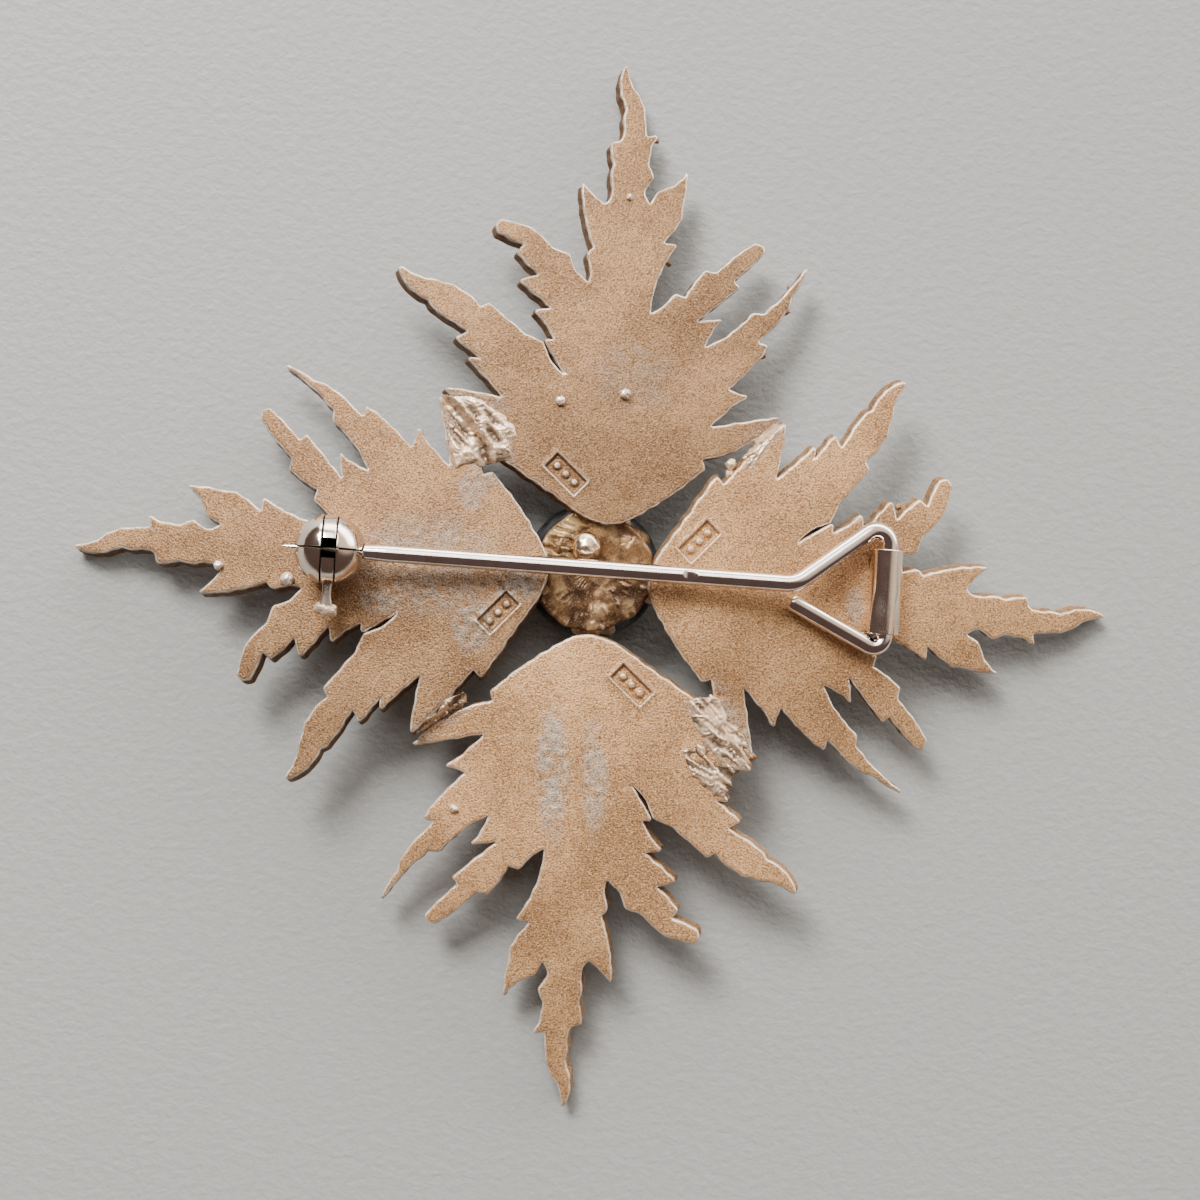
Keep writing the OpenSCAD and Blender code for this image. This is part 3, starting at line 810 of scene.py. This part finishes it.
def solder_sheet(leaves, near_rail, far_rail, thick, fold, seed, rows=44, cols=80):
    """A closed sheet over two leaves, between two rails of plan points. Its crinkles run along the
    angle fold: measured across it they are about 0.6 mm apart, and four times as long."""
    u, v = np.linspace(0, 1, cols), np.linspace(0, 1, rows)[:, None]
    near, far = [
        np.stack([np.interp(u, np.linspace(0, 1, len(rail)), column) for column in zip(*rail)], axis=1)
        for rail in (near_rail, far_rail)
    ]
    grid = near * (1 - v[..., None]) + far * v[..., None]
    long = np.linalg.norm(np.diff(near, axis=0), axis=1).sum()
    wide = np.linalg.norm(near[cols // 2] - far[cols // 2])
    edge = np.minimum(np.minimum(u, 1 - u)[None] * long, np.minimum(v, 1 - v) * wide).ravel()
    spot = grid.reshape(-1, 2)
    spot = spot + 0.09 * np.stack([waves(spot, 1.0, seed), waves(spot, 1.0, seed + 1)], axis=1)
    (first_z, first_in), (second_z, second_in) = [leaf_back(leaf, spot) for leaf in leaves]
    base = second_z + (first_z - second_z) * rise(first_in - second_in, -0.6, 0.6)
    folds = np.stack(spun(*spot.T, -fold), axis=1) / [4, 1]
    crinkle = 0.15 * ridges(folds, 1.0, seed + 2) + 0.05 * ridges(spot, 0.5, seed + 3)
    swell = np.sqrt(np.clip(edge / 0.55, 0, 1))
    top = base - 0.1 + (0.05 + thick + crinkle) * swell
    under = base - 0.1 - 0.8 * np.sqrt(np.clip(edge / 0.3, 0, 1))
    points = np.concatenate([np.column_stack([spot, top]), np.column_stack([spot, under])])
    quads = sheet_faces(np.arange(rows * cols).reshape(rows, cols), round_cols=False)
    return points, np.vstack([quads, quads[:, ::-1] + rows * cols]), np.tile(crinkle / 0.2, 2)


# leaves, first rail, second rail, thickness, direction of the crinkles in degrees
sheets = [
    [(0, 1), [[-11.2, 13.1], [-10.84, 10.46], [-10.35, 7.95]],
     [[-8.3, 12.95], [-5.9, 10.8], [-6.15, 8.4]], 0.12, -50],
    [(3, 2), [[8.35, -8.3], [9.15, -9.6], [10.35, -11.3], [11.35, -12.9]],
     [[6.3, -8.8], [6.7, -10.4], [7.9, -12.5], [9.8, -14.0]], 0.2, -45],
    [(2, 3), [[5.8, -12.3], [7.5, -11.9], [9.9, -13.3]],
     [[6.9, -14.2], [8.0, -15.4], [9.2, -16.0]], 0.16, -35],
    [(0, 3), [[12.9, 11.45], [11.9, 10.6], [10.9, 9.45], [10.4, 8.7]],
     [[13.6, 10.85], [12.75, 9.85], [11.9, 8.7], [11.2, 7.7]], -0.05, 50],
    [(1, 2), [[-13.4, -10.6], [-11.6, -9.05], [-9.7, -8.05]],
     [[-12.85, -11.15], [-10.85, -10.05], [-9.15, -8.95]], -0.05, 40],
]
sheet_parts = [solder_sheet(*row, seed=60 + 5 * i) for i, row in enumerate(sheets)]
sheet_points, sheet_quads = joined(*[part[:2] for part in sheet_parts])
crests = np.concatenate([part[2] for part in sheet_parts])
# painted highlight on the crinkles' crests and painted shade in their troughs
sheet_values = {
    "rubbed": 0.35,
    "rim": rise(crests, 0.75, 1.1) * 0.8,
    "hollow": rise(crests, 0.45, -0.3) * 0.85,
}
make_piece("corner_solder", sheet_points, sheet_quads, solder_silver, "cast_silver", values=sheet_values)

# %% Drops of solder, and the feet of the cup
# x, y, radius, and the two leaves that a drop lies on
drops = [
    [9.6, 8.15, 0.42, 0, 3],
    [9.55, 7.45, 0.36, 3, 0],
    [10.75, -13.5, 0.33, 2, 3],
    [-13.1, -10.85, 0.27, 1, 2],
    [-12.7, -10.55, 0.33, 1, 2],
    [-12.25, -10.15, 0.24, 1, 2],
    [-11.9, -10.1, 0.34, 1, 2],
    [-11.45, -9.65, 0.3, 1, 2],
    [-11.0, -9.6, 0.26, 1, 2],
    [-10.8, -9.2, 0.36, 1, 2],
    [-10.3, -9.05, 0.28, 1, 2],
    [-9.9, -8.8, 0.33, 1, 2],
]
drop_parts = []
for i, (x, y, size, *leaves) in enumerate(drops):
    low_back = min(leaf_back(leaf, np.array([[x, y]]))[0][0] for leaf in leaves)
    drop_parts.append(lump([[x, y, low_back + 0.05, size]], 0.035, 0.35, 170 + i, 16, 22))
add_lumps("solder_drops", drop_parts, solder_silver, rubbed=0.2)
# for each foot three balls: x, y, z, radius
foot_balls = [
    [[0.6, 3.9, 4.0, 0.8], [-0.7, 4.0, 3.9, 0.7], [1.9, 3.9, 3.9, 0.6]],
    [[-4.1, 0.7, 3.9, 0.8], [-4.2, -0.4, 3.8, 0.6], [-4.1, 1.6, 3.8, 0.6]],
    [[-0.4, -3.5, 3.7, 0.8], [0.8, -3.5, 3.6, 0.6], [-1.3, -3.5, 3.6, 0.6]],
    [[3.8, -0.2, 3.8, 0.8], [3.9, 0.8, 3.8, 0.6], [3.7, -1.2, 3.7, 0.6]],
]
feet = [lump(balls, 0.05, 0.7, 70 + i, 30, 44) for i, balls in enumerate(foot_balls)]
add_lumps("foot_solder", feet, solder_silver, rubbed=0.2)

# %% Studs on the backs, and granules of the front that peep past the edges
# leaf, x, y, radius
studs = [
    [0, -2.8, 12.6, 0.35],
    [0, 1.9, 13.1, 0.38],
    [0, 2.4, 27.7, 0.22],
    [1, -0.05, 22.4, 0.48],
    [1, 0.95, 27.4, 0.33],
    [2, 10.3, 16.1, 0.3],
]
granules = [
    [0, 4.55, 32.35, 0.22],
    [0, 4.5, 28.1, 0.12],
    [0, 5.3, 22.9, 0.2],
    [0, 14.25, 21.35, 0.18],
    [0, 13.95, 19.5, 0.24],
    [0, 12.1, 16.2, 0.26],
    [3, -12.0, 21.3, 0.24],
    [3, -5.3, 22.1, 0.22],
    [2, -11.2, 12.6, 0.3],
]


def beads_on(rows, radius, lift, seed):
    """Small lumps that stand on the ball of the given radius, raised by lift of their own size."""
    balls = [[*placed(leaf, x, y), ball_height(x, y, radius) + s * lift, s] for leaf, x, y, s in rows]
    return [lump([ball], 0.03, 0.3, seed + i, 14, 20) for i, ball in enumerate(balls)]


# the studs are pale: partly wear on their raised tops, partly a painted highlight
add_lumps("studs", beads_on(studs, DOME_R, 0.45, 80), solder_silver, rim=0.8)
# the granules under the edges are darkened by painted shade
add_lumps("front_granules", beads_on(granules, DOME_R - PLATE, 0.6, 90), leaf_silver, hollow=0.5)

# %% [markdown]
# ## The cup and the stone
# Behind the stone sits a rough dish, filed by hand, with one smooth bead of metal on it. It is a
# height over a round plan: rings of points from the middle out, then down the wall. The top is a
# shallow dish with crinkles on the left, and short strokes of a file fan out over its lower half.
# The stone below is a bead turned about its own axis. Its half outline goes from the front pole
# to the back pole: a round edge of radius h / 2, and a low dome on the front,
# z = 9 - sqrt(81 - r^2), wherever that is higher.

# %% The cup
CUP_AT = np.array([-0.25, 0.65])
CUP_R, CUP_TOP, CUP_FLOOR = 4.3, 5.75, 4.5


def turned(profile, cols, middle):
    """A profile of (radius, height) carried round an upright axis."""
    around = np.linspace(0, 2 * np.pi, cols, endpoint=False)
    r, h = profile[:, 0:1], profile[:, 1:2]
    points = np.stack([r * np.cos(around), r * np.sin(around), h * np.ones_like(around)], axis=-1)
    ids = np.arange(len(profile) * cols).reshape(-1, cols)
    return points.reshape(-1, 3) + middle, sheet_faces(ids)


top_radii = np.linspace(0, 1, 60) * (CUP_R - 0.2)
radii = np.concatenate([top_radii, [CUP_R - 0.08, CUP_R, CUP_R, CUP_R]])
down = np.concatenate([top_radii * 0, [0.05, 0.2, 0.7, CUP_TOP - CUP_FLOOR]])
cup_points, cup_faces = turned(np.stack([radii, CUP_TOP - down], axis=1), 160, [0, 0, 0])
plan_spot = cup_points[:, :2]
x, y = plan_spot.T
r, turn = np.hypot(x, y), np.arctan2(y, x)
open_top = rise(cup_points[:, 2], CUP_TOP - 0.6, CUP_TOP - 0.1)
dish = 0.62 * rise(r, 3.4, 0.4)
left = rise(x, 0.2, -1.6) * rise(y, -1.2, 0.6)
fan = np.stack([turn * 7.0, r * 0.5], axis=1)
strokes = waves(fan, 0.7, 101) * rise(y, -0.2, -1.2) * rise(waves(plan_spot, 1.1, 106), -0.2, 0.7)
folds = 0.24 * ridges(plan_spot * [0.5, 1.0], 1.3, 102) * left
rough = folds + 0.05 * waves(plan_spot, 2.6, 103) + 0.015 * waves(plan_spot, 0.9, 107)
rough += 0.045 * strokes
cup_points[:, 2] += open_top * (rough - dish - 0.12)
lean = 1 + 0.05 * np.cos(turn + 1.9) + 0.02 * np.cos(3 * turn + 0.6)
lean += 0.012 * waves(np.stack([turn * 4, turn * 0], axis=1), 1.4, 104)
grow = 1 + (lean - 1) * rise(r, 1.5, 3.4)
cup_points[:, :2] = plan_spot * grow[:, None] + CUP_AT
# file strokes paler: bright filed metal with a painted highlight on their ridges; painted shade on the
# lower wall and in the troughs
cup_values = {
    "rim": rise(strokes, 0.8, 1.6) * open_top * 0.4,
    "rubbed": np.maximum(left, rise(waves(plan_spot, 2.2, 105), 0.3, 1.0) * 0.6),
    "hollow": np.maximum(rise(cup_points[:, 2], 5.3, 4.8) * 0.5, rise(rough, 0.0, -0.2) * 0.5),
}
make_piece("cup", cup_points, cup_faces, cup_silver, "cast_silver", values=cup_values)
add_lumps("cup_bead", [lump([[-0.89, 2.2, 5.95, 1.08]], 0.025, 1.6, 110, 40, 56)], bead_silver)
webs = [lump([[2.3, 2.4, 4.2, 1.45]], 0.05, 1.2, 112), lump([[-2.6, 2.3, 4.6, 1.3]], 0.08, 1.1, 114)]
add_lumps("cup_webs", webs, cup_silver, rubbed=0.2)

# %% The stone
STONE_R, STONE_H, STONE_RISE = 4.9, 4.1, 0.3
turn = np.linspace(-np.pi / 2, np.pi / 2, 40)
r = STONE_R - STONE_H / 2 + np.cos(turn) * STONE_H / 2
z = STONE_H / 2 + np.sin(turn) * STONE_H / 2
r = np.concatenate([np.linspace(0, r[0], 14)[:-1], r, np.linspace(r[-1], 0, 10)[1:]])
z = np.concatenate([np.zeros(13), z, np.full(9, STONE_H)])
stone_profile = np.stack([r, np.maximum(z, 9 - np.sqrt(81 - r**2))], axis=1)
stone_points, stone_faces = turned(stone_profile, 96, [*CUP_AT, STONE_RISE])
stone = make_piece("stone_bead", stone_points, stone_faces, onyx, "black_stone")
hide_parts("stone")

# %% [markdown]
# ## The pin, its sleeve and the ball catch
# These share one place: the middle of the hinge, turned by about 4 degrees. A wire is a circle
# carried square along a line of straight runs and round bends.

# %% The place that the pin's parts share
HINGE_AT = np.array([20.8, -1.04, 6.05])
PIN_TURN = -4.1
BALL_AT = np.array([-40, 0.07, 1.8])


def from_hinge(points):
    """Points about the hinge, turned about the vertical and moved to its place."""
    return np.column_stack([*spun(*points[:, :2].T, PIN_TURN), points[:, 2]]) + HINGE_AT


def from_ball(points):
    """Points about the middle of the catch's ball."""
    return from_hinge(points + BALL_AT)


# %% The line of the wire
WIRE_R, POINT_R = 0.625, 0.06
# how far from the point the wire is full, and where a flat was pressed into it
TAPER_LENGTH, THUMB_AT = 7.3, 28.9
# corners x, y, z and the radius of the bend there, from the point to the cut end
wire_corners = np.array([
    [-43.3, 0.07, 1.8, 0],
    [-6.82, 0.07, 1.8, 2.2],
    [0, 5.49, 0, 1.08],
    [0, -4.44, 0, 0.8],
    [-6.95, -1.15, 0.33, 0],
])


def bent_line(rows, step):
    """Straight runs joined by arcs. A bend that turns by w takes r tan(w / 2) of both runs; with
    the heading d before, e after and n the part of e square to d, its points are
    start + r sin(t) d + r (1 - cos(t)) n as t goes from 0 to w."""
    parts = [rows[:1, :3]]
    for i in range(1, len(rows) - 1):
        before, at, after = rows[i - 1, :3], rows[i, :3], rows[i + 1, :3]
        d, e = unit(at - before), unit(after - at)
        w = np.arccos(d @ e)
        n = (e - d * (d @ e)) / np.sin(w)
        r = rows[i, 3]
        t = np.linspace(0, w, 14)[:, None]
        parts.append(at - d * r * np.tan(w / 2) + r * np.sin(t) * d + r * (1 - np.cos(t)) * n)
    return evenly_spaced(np.vstack(parts + [rows[-1:, :3]]), step, closed=False)


def tube(line, radius, cols, flat=None):
    """Circles of the given radii along the line, closed by a fan at each end. Sideways is the
    heading crossed with the vertical; flat lowers the tops of the circles to a height."""
    head = unit(np.gradient(line, axis=0))
    side = unit(np.cross(head, [0, 0, 1]))
    up = np.cross(side, head)
    around = np.linspace(0, 2 * np.pi, cols, endpoint=False)[None, :]
    a, b = radius[:, None] * np.cos(around), radius[:, None] * np.sin(around)
    if flat is not None:
        b = np.minimum(b, flat[:, None])
    points = line[:, None] + a[..., None] * side[:, None] + b[..., None] * up[:, None]
    points = np.concatenate([points.reshape(-1, 3), line[:1], line[-1:]])
    rows = len(line)
    faces = sheet_faces(np.arange(rows * cols).reshape(rows, cols)).tolist()
    last = (rows - 1) * cols
    faces += [(c, (c + 1) % cols, rows * cols) for c in range(cols)]
    faces += [(last + (c + 1) % cols, last + c, rows * cols + 1) for c in range(cols)]
    return points, faces


# %% The pin
wire_line, wire_run = bent_line(wire_corners, 0.1)
point_taper = POINT_R + (WIRE_R - POINT_R) * np.clip(wire_run / TAPER_LENGTH, 0, 1) ** 0.85
cut_edge = 0.07 - 0.07 * rise(wire_run[-1] - wire_run, 0.0, 0.09)
wire_radius = np.minimum(point_taper, WIRE_R) - cut_edge
wire_radius *= 1 + 0.006 * waves(wire_run[:, None] * [1.0, 0.0], 3.0, 120)
thumbed = np.abs(wire_run - THUMB_AT)
flat_top = np.where(thumbed < 0.65, 0.52 + 0.25 * (thumbed / 0.65) ** 4, 1.0)
pin_points, pin_faces = tube(wire_line, wire_radius, 32, flat_top)
# painted shade on the pin where it lies deep in the catch's slot
slot_shade = rise(abs(pin_points[:, 0] - BALL_AT[0]), 0.6, 0.45)
pin = make_piece("pin_wire", from_hinge(pin_points), pin_faces, wire_silver, "bright_wire", "pin",
                 values={"hollow": slot_shade * 0.6}, crease=40)
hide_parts("pin")

# %% [markdown]
# The sleeve is a strip of sheet folded over the wire. Seen from its end it is an arch on two
# legs, and the left leg turns out into a foot. Its outline is the strip's middle line moved half
# the thickness to each side, drawn along y with a small bevel at both ends.

# %% The folded sleeve
SLEEVE_HALF, SHEET, END_BEVEL = 3.05, 0.3, 0.05
# middle line of the strip, seen from the end: x, z
fold_line = np.array(
    [[-1.85, -1.58], [-1.45, -1.56], [-1.17, -1.4], [-1.1, -1.0], [-1.1, -0.3]]
    + [[-0.12 - 0.98 * np.cos(a), 0.87 * np.sin(a)] for a in np.linspace(0, np.pi, 17)]
    + [[0.86, -0.3], [0.86, -1.2], [0.84, -1.75]]
)
head = unit(np.gradient(fold_line, axis=0))
side = np.stack([-head[:, 1], head[:, 0]], axis=1) * SHEET / 2
x, z = np.vstack([fold_line + side, (fold_line - side)[::-1]]).T
n = len(x)
stops = [-SLEEVE_HALF, -SLEEVE_HALF + END_BEVEL, 0, SLEEVE_HALF - END_BEVEL, SLEEVE_HALF]
sleeve_points = np.concatenate([np.column_stack([x, np.full(n, y), z]) for y in stops])
sleeve_faces = sheet_faces(np.arange(5 * n).reshape(5, n)).tolist()
for first in (0, 4 * n):
    last = first + n - 1
    sleeve_faces += [(first + i, first + i + 1, last - 1 - i, last - i) for i in range(n // 2 - 1)]
sleeve = make_piece("hinge_sleeve", from_hinge(sleeve_points), sleeve_faces, catch_silver,
                    "cast_silver", crease=35)
bevel = sleeve.modifiers.new("worn_edges", "BEVEL")
bevel.width = 0.00005
bevel.segments = 2
bevel.limit_method = "ANGLE"
bevel.angle_limit = np.radians(50)
block_balls = [[x, y, -1.35 + 0.5 * x, 0.8] for y in (-2.2, -1.1, 0, 1.1, 2.2) for x in (0, -0.9)]
block_points, block_faces = lump(block_balls, 0.06, 0.8, 130, 40, 60)
add_lumps("sleeve_solder", [(from_hinge(block_points), block_faces)], solder_silver, rubbed=0.4)

# %% [markdown]
# The catch is a ball cut by a slot, and a disc with a lever turns in the slot. Cheeks and disc
# are turned about one axis, but each has a mouth for the pin, open upwards. So a ring of points
# doesn't go all the way round: at radius r it stops where it meets the mouth's wall, at the angle
# arcsin(half width / r) from the vertical. Above the pin the way through the cheeks narrows to a
# fine slit, so that the ball looks closed.

# %% Turned pieces with a mouth
BALL_R, DISC_R, DISC_HALF = 2.52, 2.42, 0.47
MOUTH_HALF = 0.7
# half width of the way through the left and the right cheek, hardly wider than the pin there
WAYS = {-1: 0.36, 1: 0.56}
# half width of the slit above the pin
SLIT_HALF = 0.07


def turned_with_mouth(profile, mouth, lips, cols=90):
    """A closed profile of (radius, x), with no radius under the mouth's half width, carried round
    the x axis from one wall of the mouth to the other, and closed by both walls. The mouth
    narrows to the lips' half width between the radii 0.8 and 1.2."""
    r, h = profile[:, 0:1], profile[:, 1:2]
    stop = np.arcsin(np.clip((lips + (mouth - lips) * rise(r, 1.2, 0.8)) / r, -1, 1))
    t = np.concatenate([[0], np.linspace(0.002, 0.998, cols - 2), [1]])[None, :]
    turn = stop + (2 * np.pi - 2 * stop) * t
    points = np.stack([h * np.ones_like(turn), r * np.sin(turn), r * np.cos(turn)], axis=-1)
    rows = len(profile)
    ids = np.arange(rows * cols).reshape(rows, cols)
    faces = sheet_faces(ids, round_rows=True, round_cols=False).tolist()
    wall = np.zeros((rows, cols))
    wall[:, [0, -1]] = 1
    faces += [tuple(ids[:, 0][::-1].tolist()), tuple(ids[:, -1].tolist())]
    return points.reshape(-1, 3), faces, wall.ravel()


def rounded(corners, soft, steps=4):
    """Profile corners replaced by short arcs: points (1-t)^2 a + 2 t (1-t) p + t^2 b, where a and
    b lie soft before and after the corner p."""
    p = np.array(corners)[:, None]
    a, b = [
        p + line * np.minimum(soft / np.linalg.norm(line, axis=2, keepdims=True), 0.45)
        for line in (np.roll(p, 1, axis=0) - p, np.roll(p, -1, axis=0) - p)
    ]
    t = np.linspace(0, 1, steps)[:, None]
    return ((1 - t) ** 2 * a + 2 * t * (1 - t) * p + t**2 * b).reshape(-1, 2)


# %% The cheeks
SLOT_HALF = DISC_HALF + 0.05


def cheek_profile(side):
    """Slot face, round rim, the ball's outside and the way in, as (radius, x); side is -1 or 1."""
    rim_r = np.sqrt(BALL_R**2 - SLOT_HALF**2)
    way = WAYS[side]
    start, end = np.arcsin(SLOT_HALF / BALL_R) + 0.05, np.arccos(way / BALL_R) - 0.03
    turn = np.linspace(start, end, 30)
    ball = np.stack([BALL_R * np.cos(turn), BALL_R * np.sin(turn)], axis=1)
    face = [[r, SLOT_HALF] for r in (way, 0.8, 1.3, rim_r - 0.13)] + [[rim_r - 0.03, SLOT_HALF + 0.05]]
    top = BALL_R * np.sin(end)
    outer = [[way + 0.03, top + 0.005], [way, top - 0.05], [way, 1.4]]
    return np.vstack([face, ball, outer]) * [1, side]


for name, side in (("cheek_left", -1), ("cheek_right", 1)):
    points, faces, wall = turned_with_mouth(cheek_profile(side), WAYS[side], SLIT_HALF)
    # painted shade on the mouth's walls and on the faces of the slot
    slot_face = rise(abs(points[:, 0]), SLOT_HALF + 0.04, SLOT_HALF + 0.01)
    make_piece(name, from_ball(points), faces, catch_silver, "bright_catch",
               values={"hollow": np.maximum(wall * 0.8, slot_face)}, crease=38)
pad_balls = [[0, 0, -2.75, 1.75], [0, 1.0, -2.75, 1.2], [0, -1.0, -2.75, 1.2]]
pad_points, pad_faces = lump(pad_balls, 0.05, 1.2, 140, 30, 50)
pad_points[:, 2] = np.minimum(pad_points[:, 2], -1.75)
add_lumps("catch_pad", [(from_ball(pad_points), pad_faces)], solder_silver, rubbed=0.3)

# %% The turning disc and its lever
disc_corners = [
    [MOUTH_HALF, -0.8], [1.3, -0.8], [1.3, -DISC_HALF], [DISC_R, -DISC_HALF],
    [DISC_R, DISC_HALF], [1.3, DISC_HALF], [1.3, 0.8], [MOUTH_HALF, 0.8],
]
disc_points, disc_faces, disc_wall = turned_with_mouth(rounded(disc_corners, 0.1), MOUTH_HALF, MOUTH_HALF)
# painted shade on the mouth's walls and on the disc's faces in the slot
disc_hollow = np.maximum(disc_wall, rise(abs(disc_points[:, 0]), DISC_HALF - 0.06, DISC_HALF))
LEVER_Z = -0.6
# the lever is a bar along -y: circles squashed into rounded boxes whose width changes along it
middles = np.linspace([0, -1.6, LEVER_Z], [0, -4.0, LEVER_Z], 16)
lever, lever_faces = tube(middles, np.ones(16), 28)
y = lever[:, 1]
square = lever[:, [0, 2]] - [0, LEVER_Z]
square = np.sign(square) * np.abs(square) ** 0.55
half_width = 0.45 - 0.1 * rise(y, -2.0, -2.8) + 0.12 * rise(y, -3.2, -4.0)
lever = np.stack([square[:, 0] * half_width, y, square[:, 1] * 0.38 + LEVER_Z], axis=1)
roller_points, roller_faces = joined((disc_points, disc_faces), (lever, lever_faces))
# the lever carries a lighter painted shade
roller_hollow = np.append(disc_hollow, np.full(len(lever), 0.35))
roller = make_piece("catch_disc", from_ball(roller_points), roller_faces, catch_silver, "bright_catch",
                    "roller", values={"hollow": roller_hollow}, crease=38)
grip_balls = [[x, y, LEVER_Z, r] for x, y, r in ((0, -4.2, 0.52), (0.4, -4.25, 0.42), (-0.42, -4.15, 0.42))]
grip_points, grip_faces = lump(grip_balls, 0.03, 0.5, 150, 30, 40)
# the grip is paler: partly worn metal, partly a painted glint
make_piece("catch_grip", from_ball(grip_points), grip_faces, solder_silver, "bright_catch", "roller",
           values={"rim": 0.35})
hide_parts("catch_roller")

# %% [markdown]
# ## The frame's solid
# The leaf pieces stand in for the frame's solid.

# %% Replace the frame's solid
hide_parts("leaf_frame")
